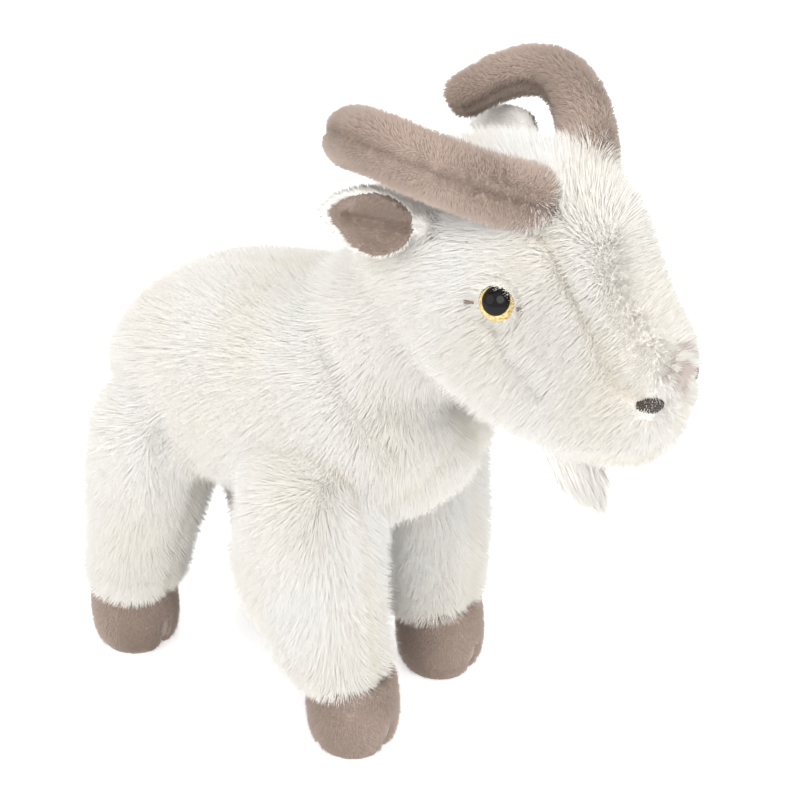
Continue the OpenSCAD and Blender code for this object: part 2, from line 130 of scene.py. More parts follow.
view = {"target": (0.0696, 0.0365, 0.0687), "azimuth": -54.58, "elevation": 30.31, "distance": 0.692,
        "lens": 85.18, "film": 36, "near": 0.02, "far": 20}


def placeCamera():
    data = bpy.data.cameras.new("camera")
    data.lens, data.sensor_width = view["lens"], view["film"]
    data.clip_start, data.clip_end = view["near"], view["far"]
    camera = bpy.data.objects.new("camera", data)
    bpy.context.scene.collection.objects.link(camera)
    turn, lift = math.radians(view["azimuth"]), math.radians(view["elevation"])
    back = Vector((math.sin(turn) * math.cos(lift), -math.cos(turn) * math.cos(lift), math.sin(lift)))
    camera.location = Vector(view["target"]) + back * view["distance"]
    camera.rotation_mode = "QUATERNION"
    camera.rotation_quaternion = (-back).to_track_quat("-Z", "Y")
    bpy.context.scene.camera = camera


studio = {
    "floor": 6.0,
    "aim": (0, 0, 0.1),
    "paper": (0.98, 0.98, 0.98, 1),
    "paperRoughness": 0.9,
    "paperGlow": 0.3,
    "sky": (1.0, 1.0, 1.0, 1),
    "skyStrength": 1.2,
    "lamps": [
        {"name": "keyLamp", "at": (-0.75, -0.9, 1.15), "size": 1.2, "power": 14},
        {"name": "fillLamp", "at": (-1.1, 0.5, 0.8), "size": 1.2, "power": 4},
        {"name": "rimLamp", "at": (0.9, 0.7, 1.1), "size": 1.2, "power": 4},
    ],
}


def lightStudio():
    scene = bpy.context.scene
    scene.view_settings.view_transform = "Standard"
    world = bpy.data.worlds.new("studioSky")
    scene.world = world
    world.use_nodes = True
    sky = world.node_tree.nodes["Background"]
    sky.inputs["Color"].default_value = studio["sky"]
    sky.inputs["Strength"].default_value = studio["skyStrength"]
    for lamp in studio["lamps"]:
        data = bpy.data.lights.new(lamp["name"], "AREA")
        data.shape, data.size, data.energy = "DISK", lamp["size"], lamp["power"]
        thing = bpy.data.objects.new(lamp["name"], data)
        thing.location = lamp["at"]
        aim = Vector(studio["aim"]) - thing.location
        thing.rotation_euler = aim.to_track_quat("-Z", "Y").to_euler()
        scene.collection.objects.link(thing)
    bm = bmesh.new()
    bmesh.ops.create_grid(bm, x_segments=1, y_segments=1, size=studio["floor"])
    floor = newObject("floor", bm)
    paper = plainMaterial("paper", studio["paper"], studio["paperRoughness"])
    glow = paper.node_tree.nodes["Principled BSDF"]
    glow.inputs["Emission Color"].default_value = studio["paper"]
    glow.inputs["Emission Strength"].default_value = studio["paperGlow"]
    floor.data.materials.append(paper)
    floor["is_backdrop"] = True


def newObject(name, bm):
    mesh = bpy.data.meshes.new(name)
    bm.to_mesh(mesh)
    bm.free()
    thing = bpy.data.objects.new(name, mesh)
    bpy.context.scene.collection.objects.link(thing)
    return thing


plush = {"sheenRoughness": 0.5, "specular": 0.2}


def plainMaterial(name, colour, roughness, sheen=0.0):
    material = bpy.data.materials.new(name)
    material.use_nodes = True
    shader = material.node_tree.nodes["Principled BSDF"]
    shader.inputs["Base Color"].default_value = colour
    shader.inputs["Roughness"].default_value = roughness
    shader.inputs["Sheen Weight"].default_value = sheen
    shader.inputs["Sheen Roughness"].default_value = plush["sheenRoughness"]
    shader.inputs["Specular IOR Level"].default_value = plush["specular"]
    return material


# Materials

pileColours = {
    "whitePile": {"root": (0.92, 0.895, 0.85, 1), "tip": (0.965, 0.95, 0.915, 1),
                  "warm": (0.96, 0.91, 0.82, 1), "cool": (1.0, 1.0, 1.0, 1), "sheen": 0.05},
    "taupePile": {"root": (0.27, 0.205, 0.17, 1), "tip": (0.55, 0.43, 0.365, 1),
                  "warm": (0.50, 0.47, 0.44, 1), "cool": (1.08, 1.08, 1.08, 1), "sheen": 0.2},
    "nosePile": {"root": (0.50, 0.43, 0.39, 1), "tip": (0.70, 0.62, 0.575, 1),
                 "warm": (0.78, 0.74, 0.72, 1), "cool": (1.1, 1.1, 1.1, 1), "sheen": 0.1},
}
pileFinish = {"roughness": 0.85, "tipFrom": 0.55}


def pileMaterial(name):
    # Colour runs from root to tip along v of the pile's own map, and its tint along u
    look = pileColours[name]
    material = plainMaterial(name, look["tip"], pileFinish["roughness"], look["sheen"])
    tree = material.node_tree
    place = tree.nodes.new("ShaderNodeUVMap")
    place.uv_map = "pileMap"
    split = tree.nodes.new("ShaderNodeSeparateXYZ")
    tree.links.new(place.outputs["UV"], split.inputs[0])
    along = tree.nodes.new("ShaderNodeValToRGB")
    along.color_ramp.elements[0].color = look["root"]
    along.color_ramp.elements[1].color = look["tip"]
    along.color_ramp.elements[1].position = pileFinish["tipFrom"]
    tree.links.new(split.outputs["Y"], along.inputs["Fac"])
    tint = tree.nodes.new("ShaderNodeValToRGB")
    tint.color_ramp.elements[0].color = look["warm"]
    tint.color_ramp.elements[1].color = look["cool"]
    tree.links.new(split.outputs["X"], tint.inputs["Fac"])
    mix = tree.nodes.new("ShaderNodeMix")
    mix.data_type, mix.blend_type = "RGBA", "MULTIPLY"
    mix.inputs["Factor"].default_value = 1
    tree.links.new(along.outputs["Color"], mix.inputs["A"])
    tree.links.new(tint.outputs["Color"], mix.inputs["B"])
    tree.links.new(mix.outputs["Result"], tree.nodes["Principled BSDF"].inputs["Base Color"])
    return material


backingColours = {
    "whiteBacking": {"dark": (0.66, 0.63, 0.58, 1), "light": (0.77, 0.745, 0.705, 1)},
    "taupeBacking": {"dark": (0.17, 0.13, 0.108, 1), "light": (0.29, 0.225, 0.19, 1)},
}
knit = {"roughness": 0.95, "sheen": 0.2, "loops": 1400, "blotches": 90, "detail": 4, "loopShare": 0.5,
        "darkAt": 0.3, "lightAt": 0.8, "bump": 0.4, "bumpDepth": 0.0004}


def backingMaterial(name):
    # Knitted backing that the pile grows from: fine rows of loops with soft blotches
    dark, light = backingColours[name]["dark"], backingColours[name]["light"]
    material = plainMaterial(name, light, knit["roughness"], knit["sheen"])
    tree = material.node_tree
    place = tree.nodes.new("ShaderNodeTexCoord")
    loops = tree.nodes.new("ShaderNodeTexVoronoi")
    loops.inputs["Scale"].default_value = knit["loops"]
    blotch = tree.nodes.new("ShaderNodeTexNoise")
    blotch.inputs["Scale"].default_value = knit["blotches"]
    blotch.inputs["Detail"].default_value = knit["detail"]
    for texture in (loops, blotch):
        tree.links.new(place.outputs["Object"], texture.inputs["Vector"])
    total = tree.nodes.new("ShaderNodeMath")
    total.operation = "MULTIPLY_ADD"
    total.inputs[1].default_value = knit["loopShare"]
    tree.links.new(loops.outputs["Distance"], total.inputs[0])
    tree.links.new(blotch.outputs["Fac"], total.inputs[2])
    ramp = tree.nodes.new("ShaderNodeValToRGB")
    ramp.color_ramp.elements[0].color = dark
    ramp.color_ramp.elements[0].position = knit["darkAt"]
    ramp.color_ramp.elements[1].color = light
    ramp.color_ramp.elements[1].position = knit["lightAt"]
    tree.links.new(total.outputs["Value"], ramp.inputs["Fac"])
    bump = tree.nodes.new("ShaderNodeBump")
    bump.inputs["Strength"].default_value = knit["bump"]
    bump.inputs["Distance"].default_value = knit["bumpDepth"]
    tree.links.new(loops.outputs["Distance"], bump.inputs["Height"])
    shader = tree.nodes["Principled BSDF"]
    tree.links.new(ramp.outputs["Color"], shader.inputs["Base Color"])
    tree.links.new(bump.outputs["Normal"], shader.inputs["Normal"])
    return material


placeCamera()
lightStudio()
materials = {name: pileMaterial(name) for name in pileColours}
materials.update({name: backingMaterial(name) for name in backingColours})
print("studio ready")


# Skins: copies of the CAD solids, fused into one soft surface

def fusedCopy(name, nodeNames, voxel, plugs=()):
    whole = bmesh.new()
    for nodeName in nodeNames:
        part = bmesh.new()
        part.from_mesh(nodes[nodeName].data)
        bmesh.ops.remove_doubles(part, verts=part.verts, dist=1e-6)
        spare = bpy.data.meshes.new("spare")
        part.to_mesh(spare)
        part.free()
        whole.from_mesh(spare)
        bpy.data.meshes.remove(spare)
    for place, radius in plugs:
        bmesh.ops.create_icosphere(whole, subdivisions=3, radius=radius, matrix=Matrix.Translation(place))
    thing = newObject(name, whole)
    remesh = thing.modifiers.new("remesh", "REMESH")
    remesh.mode, remesh.voxel_size = "VOXEL", voxel
    applyModifiers(thing)
    return thing


def applyModifiers(thing):
    graph = bpy.context.evaluated_depsgraph_get()
    graph.update()
    made = bpy.data.meshes.new_from_object(thing.evaluated_get(graph))
    old = thing.data
    thing.modifiers.clear()
    thing.data = made
    bpy.data.meshes.remove(old)


def points(thing):
    found = np.empty(len(thing.data.vertices) * 3, np.float32)
    thing.data.vertices.foreach_get("co", found)
    return found.reshape(-1, 3).astype(float)


def setPoints(thing, places):
    thing.data.vertices.foreach_set("co", places.astype(np.float32).ravel())
    thing.data.update()


def normals(thing):
    found = np.empty(len(thing.data.vertices) * 3, np.float32)
    thing.data.vertex_normals.foreach_get("vector", found)
    return found.reshape(-1, 3).astype(float)


def softened(thing, times, factor=0.5):
    bm = bmesh.new()
    bm.from_mesh(thing.data)
    for _ in range(times):
        bmesh.ops.smooth_vert(bm, verts=bm.verts, factor=factor,
                              use_axis_x=True, use_axis_y=True, use_axis_z=True)
    bm.to_mesh(thing.data)
    bm.free()


seamStep = 0.0008
touching = 2e-5


def sharedLine(first, second):
    # Points along the edges that two neighbouring panels share
    bm = bmesh.new()
    bm.from_mesh(nodes[second].data)
    tree = KDTree(len(bm.verts))
    for i, v in enumerate(bm.verts):
        tree.insert(v.co, i)
    tree.balance()
    bm.free()
    found = []
    for edge in nodes[first].data.edges:
        a, b = (nodes[first].data.vertices[i].co for i in edge.vertices)
        if tree.find(a)[2] < touching and tree.find(b)[2] < touching:
            count = max(int((b - a).length / seamStep), 1)
            found += [a.lerp(b, k / count) for k in range(count + 1)]
    return found


def distanceTo(line, places):
    tree = KDTree(len(line))
    for i, p in enumerate(line):
        tree.insert(p, i)
    tree.balance()
    return np.array([tree.find(p)[2] for p in places])


legNames = ["front_left", "front_right", "hind_left", "hind_right"]
sides = ["left", "right"]
coat = {
    "voxel": 2.1 * mm,
    "softening": 9,
    "legTop": 98 * mm,       # above this the shoulder belongs to the body
    "neckCut": 20 * mm,      # along the neck from its lower joint, where the head's plush begins
    "seamWidth": 2.6 * mm,
    "pileSink": 0.55,        # share of its pile's length that the backing lies under the pattern
    "pileRise": 0.7 * mm,
}
panelNodes = ["body_panel_left", "body_panel_right", "belly_panel", "neck_panel_left", "neck_panel_right",
              "face_gusset", "cheek_panel_left", "cheek_panel_right", "chin_panel", "nose_patch"]
for leg in legNames:
    panelNodes += [leg + "_leg_outer", leg + "_leg_inner"]
stuffingNodes = ["body_stuffing", "neck_stuffing", "head_stuffing"]
stuffingNodes += [leg + "_leg_stuffing" for leg in legNames]
neckAt, headAt = jointAt["neck_nod"], jointAt["head_turn"]
neckWay = (headAt - neckAt).normalized()
eyeAt = {side: centreOf("eye_" + side) for side in sides}
eyeAxis = {side: (eyeAt[side] - centreOf("eye_washer_" + side)).normalized() for side in sides}
noseAt = centreOf("nose_patch")
mouthSpots = [v.co for v in nodes["mouth_patches"].data.vertices]
mouthAt = {}
for side, sign in (("left", 1), ("right", -1)):
    spots = [v for v in mouthSpots if v.x * sign > 0]
    mouthAt[side] = sum(spots, Vector()) / len(spots)
hornAt = {side: jointAt["horn_flex_" + side] for side in sides}
earAt = {side: jointAt["ear_swing_" + side] for side in sides}


def alongNeck(places):
    return (places - np.array(neckAt)) @ np.array(neckWay)


legCuff = {"top": 23 * mm, "short": 2.8 * mm, "grow": 0.4}
coatPile = 8.0  # mm, as are the lengths below
muzzlePile = {"from": 76, "to": 108, "less": 3.8}
eyePile = {"from": 5.0, "to": 9.5, "least": 2.4, "more": 5.6}
mouthPile = {"from": 3, "to": 10, "least": 2.8, "more": 5.0}
nosePile = {"from": 6, "to": 16, "least": 3.6, "more": 5}


def growing(places, centre, zone):
    # Pile that is short at the centre and grows longer away from it
    away = np.linalg.norm(places - np.array(centre), axis=1) / mm
    return zone["least"] + zone["more"] * smoothStep(zone["from"], zone["to"], away)


def pileLength(places):
    # Length of the white pile at each place: shorter on the muzzle, round the eyes and over the hooves
    head = alongNeck(places) > coat["neckCut"]
    muzzle = smoothStep(muzzlePile["from"], muzzlePile["to"], -places[:, 1] / mm)
    length = np.where(head, coatPile - muzzlePile["less"] * muzzle, coatPile)
    for side in sides:
        length = np.minimum(length, growing(places, eyeAt[side], eyePile))
        length = np.minimum(length, growing(places, mouthAt[side], mouthPile))
    length = np.minimum(length, growing(places, noseAt, nosePile))
    cuff = (legCuff["short"] + legCuff["grow"] * np.maximum(places[:, 2] - legCuff["top"], 0)) / mm
    return np.where(head, length, np.minimum(length, cuff)) * mm


# Balls that close the coat where a horn, an ear, the tail or an eye is set in
plugSize = {"horn": 8.6 * mm, "ear": 5 * mm, "tail": 8 * mm, "eye": 4.6 * mm}
eyePlugDepth = 4.5  # mm behind the eye
plugs = [(hornAt[side], plugSize["horn"]) for side in sides]
plugs += [(earAt[side], plugSize["ear"]) for side in sides]
plugs.append((jointAt["tail_lift"], plugSize["tail"]))
plugs += [(eyeAt[side] - eyeAxis[side] * eyePlugDepth * mm, plugSize["eye"]) for side in sides]
body = fusedCopy("coatShape", panelNodes + stuffingNodes + ["mouth_patches"], coat["voxel"], plugs)
softened(body, coat["softening"])
print("coat fused:", len(body.data.vertices), "points")
seamLines = {
    "gusset": sharedLine("face_gusset", "cheek_panel_left") + sharedLine("face_gusset", "cheek_panel_right"),
    "chin": sharedLine("cheek_panel_left", "chin_panel") + sharedLine("cheek_panel_right", "chin_panel"),
    "back": sharedLine("body_panel_left", "body_panel_right"),
    "belly": sharedLine("body_panel_left", "belly_panel") + sharedLine("body_panel_right", "belly_panel"),
    "leg": [p for leg in legNames for p in sharedLine(leg + "_leg_outer", leg + "_leg_inner")],
}
creases = {  # corners of the pressed lines that aren't seams, in mm, on the left side
    "dart": [(29.6, -63, 174.5), (29.5, -68.7, 167.5), (27.7, -72.3, 161.5), (24.5, -79.1, 152.7)],
    "shoulder": [(25.5, -2, 149), (27.2, -6.5, 142), (28.2, -12, 134), (27.7, -20, 125.5),
                 (22.8, -27.4, 115.1)],
    "haunch": [(37.2, 54.1, 104), (39.8, 52.6, 94.7), (38.7, 54.5, 80)],
    "mouth": [(11.2, -109.5, 154.4), (6.5, -113, 155), (0, -114.5, 156)],
}


def creaseLine(corners):
    # The same line on both sides of the goat
    found = []
    for sign in (1, -1):
        spots = [Vector((x * sign, y, z)) * mm for x, y, z in corners]
        for a, b in zip(spots, spots[1:]):
            count = max(int((b - a).length / seamStep), 1)
            found += [a.lerp(b, k / count) for k in range(count + 1)]
    return found


seamLines.update({name: creaseLine(corners) for name, corners in creases.items()})
seamDepths = {"dart": 2.2 * mm, "shoulder": 2.2 * mm, "haunch": 2.4 * mm, "mouth": 1.6 * mm,
              "gusset": 2.0 * mm, "chin": 0.8 * mm, "back": 0.8 * mm, "belly": 1.0 * mm, "leg": 1.4 * mm}
fluff = {"pressure": 4.0, "frames": 14, "quality": 3, "most": 1.2 * mm, "pinned": 2.5 * mm, "softening": 2}


def seamGaps(places):
    return {name: distanceTo(line, places) for name, line in seamLines.items()}


def puffed(thing, gaps):
    # Stuffing pushes the plush out between its seams
    pinned = thing.vertex_groups.new(name="pinned")
    near = np.minimum.reduce([gaps[name] for name in gaps if name not in creases]) < fluff["pinned"]
    pinned.add([int(i) for i in np.nonzero(near)[0]], 1, "REPLACE")
    cloth = thing.modifiers.new("cloth", "CLOTH")
    cloth.settings.vertex_group_mass = "pinned"
    cloth.settings.use_pressure = True
    cloth.settings.uniform_pressure_force = fluff["pressure"]
    cloth.settings.effector_weights.gravity = 0
    cloth.settings.quality = fluff["quality"]
    cloth.point_cache.frame_end = fluff["frames"]
    for k in range(1, fluff["frames"] + 1):
        bpy.context.scene.frame_set(k)
    before = points(thing)
    applyModifiers(thing)
    moved = points(thing) - before
    far = np.linalg.norm(moved, axis=1, keepdims=True)
    setPoints(thing, before + moved * np.minimum(1, fluff["most"] / np.maximum(far, 1e-9)))
    bpy.context.scene.frame_set(1)


# Each row: where the plush stands out from the pattern or is drawn in, how wide, and how far, in mm
swells = [((33, -24, 52), 24, 4.0), ((22, -38, 104), 26, 5.0), ((6, -90, 206), 13, 3.5),
          ((6, -104, 188), 17, -2.0), ((0, 94, 135), 26, -1.5), ((0, -96, 132), 14, 1.5)]


def swelling(places):
    total = np.zeros(len(places))
    for place, width, height in swells:
        away = np.linalg.norm(places - np.array(place) * mm, axis=1) / mm
        total += height * mm * np.exp(-((away / width) ** 2))
    return total


gaps = seamGaps(points(body))
puffed(body, gaps)
softened(body, fluff["softening"])
print("coat puffed")
surface = points(body)
sink = coat["pileSink"] * pileLength(surface) - coat["pileRise"] - swelling(surface)
for name, depth in seamDepths.items():
    sink += depth * np.exp(-((gaps[name] / coat["seamWidth"]) ** 2))
setPoints(body, surface - normals(body) * sink[:, None])
softened(body, 1)


def nearestPanel(places, names):
    corners, faces, owner = [], [], []
    for k, name in enumerate(names):
        mesh, first = nodes[name].data, len(corners)
        corners += [v.co for v in mesh.vertices]
        faces += [[first + i for i in p.vertices] for p in mesh.polygons]
        owner += [k] * len(mesh.polygons)
    tree = BVHTree.FromPolygons(corners, faces)
    return np.array([names[owner[tree.find_nearest(p)[2]]] for p in places])


def faceCentres(thing):
    found = np.empty(len(thing.data.polygons) * 3, np.float32)
    thing.data.polygons.foreach_get("center", found)
    return found.reshape(-1, 3).astype(float)


bodyPanels = panelNodes[:3]
neckPanels = panelNodes[3:5]
headPanels = panelNodes[5:9]
legPanels = panelNodes[10:]
centres = faceCentres(body)
owners = nearestPanel(centres, panelNodes)
ahead = alongNeck(centres) > coat["neckCut"]
moves = [
    (np.isin(owners, legPanels) & (centres[:, 2] > coat["legTop"]), bodyPanels),
    (np.isin(owners, headPanels) & ~ahead, bodyPanels + neckPanels),
    (np.isin(owners, bodyPanels + neckPanels) & ahead, headPanels),
]
for picked, names in moves:
    if picked.any():
        owners[picked] = nearestPanel(centres[picked], names)
print("panels:", {name: int((owners == name).sum()) for name in panelNodes})


def triangles(thing, picked=None):
    # Corner places and corner normals of each triangle
    mesh = thing.data
    mesh.calc_loop_triangles()
    count = len(mesh.loop_triangles)
    corner, owner = np.empty(count * 3, np.int32), np.empty(count, np.int32)
    mesh.loop_triangles.foreach_get("vertices", corner)
    mesh.loop_triangles.foreach_get("polygon_index", owner)
    corner = corner.reshape(-1, 3)
    if picked is not None:
        corner = corner[picked[owner]]
    return points(thing)[corner], normals(thing)[corner]


def scattered(corners, facing, perSquare, most, turn):
    # Evenly spread roots on triangles: place and normal of each
    size = np.linalg.norm(np.cross(corners[:, 1] - corners[:, 0], corners[:, 2] - corners[:, 0]), axis=1) / 2
    count = int(min(size.sum() / mm**2 * perSquare, most))
    steps = (np.arange(count) + turn.random(count)) / count
    pick = np.minimum(np.searchsorted(np.cumsum(size) / size.sum(), steps), len(size) - 1)
    a, b = turn.random(count), turn.random(count)
    flip = a + b > 1
    a, b = np.where(flip, 1 - a, a), np.where(flip, 1 - b, b)
    share = np.stack([1 - a - b, a, b], axis=1)[:, :, None]
    return (corners[pick] * share).sum(1), unitRows((facing[pick] * share).sum(1))


hairMap = {"root": 0.03, "tip": 0.97, "side": 0.02, "third": 0.012}  # places on the pile's own map


def spikes(name, lines, halfWidth, across, facing, tint, look):
    # One mesh of slim three-sided hairs. lines has the root and the tip of each hair.
    count = len(lines)
    stem = unitRows(lines[:, 1] - lines[:, 0])
    beside = unitRows(np.cross(across, stem))
    places = np.empty((count, 4, 3))
    for k in range(3):
        turned = 2 * math.pi * k / 3 + math.pi / 2
        around = across * math.cos(turned) + beside * math.sin(turned)
        places[:, k] = lines[:, 0] + around * halfWidth[:, None]
    places[:, 3] = lines[:, 1]
    corner = np.array([0, 3, 1, 1, 3, 2, 2, 3, 0])
    mesh = bpy.data.meshes.new(name)
    mesh.vertices.add(count * 4)
    mesh.vertices.foreach_set("co", places.astype(np.float32).ravel())
    mesh.loops.add(count * 9)
    mesh.loops.foreach_set("vertex_index", (np.arange(count)[:, None] * 4 + corner).astype(np.int32).ravel())
    mesh.polygons.add(count * 3)
    mesh.polygons.foreach_set("loop_start", np.arange(0, count * 9, 3, dtype=np.int32))
    mesh.update(calc_edges=True)
    rise = np.array([hairMap["root"]] * 3 + [hairMap["tip"]])
    u = np.clip(tint, hairMap["root"], hairMap["tip"])[:, None]
    u = u + np.array([-hairMap["side"], hairMap["side"], 0.0, 0.0])
    spots = np.stack([u, np.broadcast_to(rise, u.shape)], axis=2)[:, corner]
    # The third side needs some width of its own
    spots[:, 6:, 0] += hairMap["third"] * np.array([1, 0, -1])
    for mapName in ("pileMap", "OFBake"):
        mesh.uv_layers.new(name=mapName).data.foreach_set("uv", spots.astype(np.float32).ravel())
    mesh.uv_layers["pileMap"].active_render = True
    mesh.normals_split_custom_set_from_vertices(np.repeat(facing, 4, axis=0).tolist())
    mesh.materials.append(materials[look])
    thing = bpy.data.objects.new(name, mesh)
    bpy.context.scene.collection.objects.link(thing)
    return thing


pileKinds = {
    "white": {"backing": "whiteBacking", "look": "whitePile", "slot": "white_plush", "wall": 1.6 * mm,
              "perSquare": 4.8, "most": 66000, "halfWidth": 0.18 * mm, "clump": 3.0 * mm, "gather": 0.15,
              "stand": 1.7, "wander": 0.18, "uneven": 0.16, "jitter": 0.22, "shade": 0.0},
    "taupe": {"backing": "taupeBacking", "look": "taupePile", "slot": "taupe_plush", "wall": 1.0 * mm,
              "perSquare": 6.6, "most": 60000, "halfWidth": 0.165 * mm, "clump": 2.2 * mm, "gather": 0.25,
              "stand": 1.1, "wander": 0.5, "uneven": 0.2, "jitter": 0.3, "shade": 0.0},
    "nose": {"backing": "whiteBacking", "look": "nosePile", "slot": "nose_embroidery", "wall": 1.6 * mm,
             "perSquare": 9.0, "most": 20000, "halfWidth": 0.14 * mm, "clump": 1.5 * mm, "gather": 0.2,
             "stand": 0.9, "wander": 0.4, "uneven": 0.2, "jitter": 0.25, "shade": 0.0},
}


farOff = 1.0  # metres, where a piece has no seam


def lineGaps(lines):
    return lambda places: {"seam": distanceTo(lines, places) if lines else np.full(len(places), farOff)}


def evenLength(value):
    return lambda places: np.full(len(places), value)


def smoothWander(roots, size, seed):
    return np.stack([ripple(roots, size, seed + k) for k in range(3)], axis=1)


def clumpOf(roots, style, seed):
    # Index of the tuft that each hair leans into
    order = np.random.default_rng(seed).permutation(len(roots))
    heads = order[: max(int(len(roots) / style["perSquare"] / (style["clump"] / mm) ** 2), 3)]
    tree = KDTree(len(heads))
    for i in heads:
        tree.insert(roots[i], int(i))
    tree.balance()
    return np.array([tree.find(p)[1] for p in roots])


hair = {"lean": 0.75, "flatWay": 0.6, "sway": 0.022, "scatter": 0.08, "lengths": (0.5, 1.5),
        "rooted": 0.5 * mm, "gather": (0.5, 0.6), "width": (0.75, 0.5), "floor": 0.4 * mm}


def grownPile(name, roots, facing, length, comb, tint, style, seed):
    turn = np.random.default_rng(seed)
    count = len(roots)
    along = comb - facing * (comb * facing).sum(1, keepdims=True)
    # Upright where the nap has no way to lie
    lean = hair["lean"] * np.clip(np.linalg.norm(along, axis=1, keepdims=True) / hair["flatWay"], 0, 1)
    along = unitRows(along) + smoothWander(roots, hair["sway"], seed) * style["wander"]
    along += turn.normal(size=(count, 3)) * style["jitter"]
    along = unitRows(along - facing * (along * facing).sum(1, keepdims=True))
    length = length * np.clip(1 + style["uneven"] * turn.normal(size=count), *hair["lengths"])
    way = unitRows(facing * style["stand"] + along * lean + turn.normal(size=(count, 3)) * hair["scatter"])
    root = roots - facing * hair["rooted"]
    tip = root + way * length[:, None]
    heads = clumpOf(roots, style, seed)
    least, more = hair["gather"]
    tip += (tip[heads] - tip) * style["gather"] * (turn.random(count) * more + least)[:, None]
    lines = np.stack([root, tip], axis=1)
    lines[:, :, 2] = np.maximum(lines[:, :, 2], hair["floor"])
    across = unitRows(np.cross(tip - root, facing))
    half = style["halfWidth"] * (hair["width"][0] + hair["width"][1] * turn.random(count))
    return spikes(name, lines, half, across, facing, tint + style["shade"], style["look"])


nap = {"neck": (15 * mm, 28 * mm), "legTop": (70 * mm, 95 * mm), "fullSide": 0.03,
       "trunk": (0, 0.75, -0.65), "trunkSide": (0, 0, -0.2), "leg": (0, 0.08, -1.0),
       "head": (0, 0.9, -0.25), "headSide": (0, 0, -0.15), "headOut": 0.25}


def combWay(places):
    # The way the white nap lies: back over the head, down the neck and legs
    head = smoothStep(*nap["neck"], alongNeck(places))[:, None]
    low = (1 - smoothStep(*nap["legTop"], places[:, 2]))[:, None]
    side = np.clip(np.abs(places[:, 0])[:, None] / nap["fullSide"], 0, 1)
    out = np.sign(places[:, 0])[:, None] * np.array([1.0, 0, 0])
    trunk = np.array(nap["trunk"]) + side * np.array(nap["trunkSide"])
    legWay = np.array(nap["leg"])
    headWay = np.array(nap["head"]) + side * (out * nap["headOut"] + np.array(nap["headSide"]))
    way = trunk * (1 - low) + legWay * low
    return way * (1 - head) + headWay * head


def cameled(name):
    words = name.split("_")
    return words[0] + "".join(w.capitalize() for w in words[1:])


def panelPiece(shape, node, picked, kind):
    # The faces of one panel as a closed sheet of plush backing
    bm = bmesh.new()
    bm.from_mesh(shape.data)
    bm.faces.ensure_lookup_table()
    bmesh.ops.delete(bm, geom=[f for f, keep in zip(bm.faces, picked) if not keep], context="FACES")
    for face in bm.faces:
        face.smooth = True
    piece = newObject(cameled(node), bm)
    wall = piece.modifiers.new("wall", "SOLIDIFY")
    wall.thickness, wall.offset = kind["wall"], -1
    applyModifiers(piece)
    piece.data.materials.clear()
    piece.data.materials.append(materials[kind["backing"]])
    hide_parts(node)
    return piece


# The last value is painted shade: how far the pile's tint drops, darker and warmer, along each seam
seamShade = {"width": 2.6 * mm, "shorter": 0.3, "paintedShade": 0.5}
tintWander = {"middle": 0.72, "sway": 0.16, "size": 0.035, "seed": 3, "hairs": 0.07}


def grownOn(shape, node, picked, kind, length, comb, gaps, seed):
    # The pile of one panel: shorter along its seams, and painted shade in its colour there, where the seam
    # valleys fall in shadow
    turn = np.random.default_rng(seed)
    corners, facing = triangles(shape, picked)
    roots, facing = scattered(corners, facing, kind["perSquare"], kind["most"], turn)
    seam = np.exp(-((np.minimum.reduce(list(gaps(roots).values())) / seamShade["width"]) ** 2))
    sway = tintWander["sway"] * ripple(roots, tintWander["size"], tintWander["seed"])
    tint = tintWander["middle"] + sway + tintWander["hairs"] * turn.normal(size=len(roots))
    # Painted shade: the tint drops along each seam as if the seam valley were in shadow
    tint = tint - seamShade["paintedShade"] * seam
    pile = grownPile(cameled(node) + "Pile", roots, facing, length(roots) * (1 - seamShade["shorter"] * seam),
                     comb(roots), tint, kind, seed)
    return pile


def joinBody(piece, node):
    # Each piece has its place baked into its points, whichever bodies its panel joins
    if node in headPanels + ["nose_patch"]:
        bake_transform(piece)
    elif node in bodyPanels + neckPanels:
        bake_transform(piece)
    else:
        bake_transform(piece)


patchPile = 2.8 * mm
seeds = {"coat": 100, "horn": 200, "rightHorn": 10, "ear": 230, "rightEar": 5, "tail": 240, "hoof": 250,
         "beard": 41}
for number, node in enumerate(panelNodes):
    picked = owners == node
    if not picked.any():
        continue
    onPatch = node == "nose_patch"
    kind = pileKinds["nose" if onPatch else "white"]
    joinBody(panelPiece(body, node, picked, kind), node)
    joinBody(grownOn(body, node, picked, kind, evenLength(patchPile) if onPatch else pileLength, combWay,
                     lineGaps([]) if onPatch else seamGaps, seeds["coat"] + number), node)
print("white pile grown")


# Horns, ears, tail and hooves: each a small skin of its own, split along its own seams

def smallSkin(name, nodeNames, owning, voxel, softening, lines, depth, width, sinking):
    # The fused skin with its seams pressed in, and the panel that each face belongs to
    skin = fusedCopy(name, nodeNames, voxel)
    softened(skin, softening)
    owners = nearestPanel(faceCentres(skin), owning)
    places = points(skin)
    sink = np.full(len(places), sinking)
    if lines:
        sink += depth * np.exp(-((distanceTo(lines, places) / width) ** 2))
    setPoints(skin, places - normals(skin) * sink[:, None])
    softened(skin, 1)
    return skin, owners


def combed(way):
    return lambda places: np.broadcast_to(np.array(way, float), places.shape)


def mirrored(way, sign):
    # A direction of the left side, turned to the side that sign says
    return Vector((sign * way[0], way[1], way[2]))


